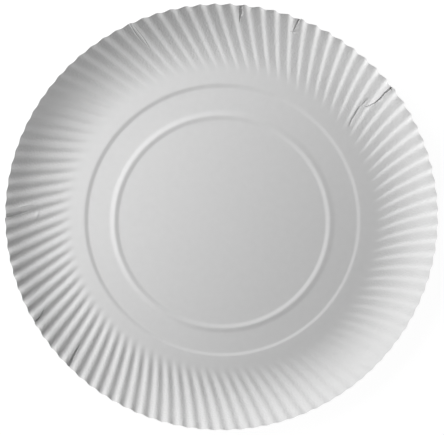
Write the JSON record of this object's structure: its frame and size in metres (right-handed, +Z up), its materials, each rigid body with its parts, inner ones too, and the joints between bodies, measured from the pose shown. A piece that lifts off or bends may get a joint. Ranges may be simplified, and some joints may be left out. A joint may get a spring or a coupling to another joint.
{
  "type": "paper plate",
  "caption": "Round disposable paper plate: flat floor with a raised bead ring and a small step ring, and an upturned rim pressed into fine slanted flutes.",
  "frame": {"origin": "middle of the underside, on the surface that the plate stands on", "axes": "+Z up through the middle of the plate, towards the food side; X and Y are level"},
  "size_m": [0.2308, 0.2308, 0.013],
  "materials": {
    "paper": "matt, uncoated, faintly mottled"
  },
  "bodies": {
    "root": {"plate": "paper"}
  },
  "joints": []
}
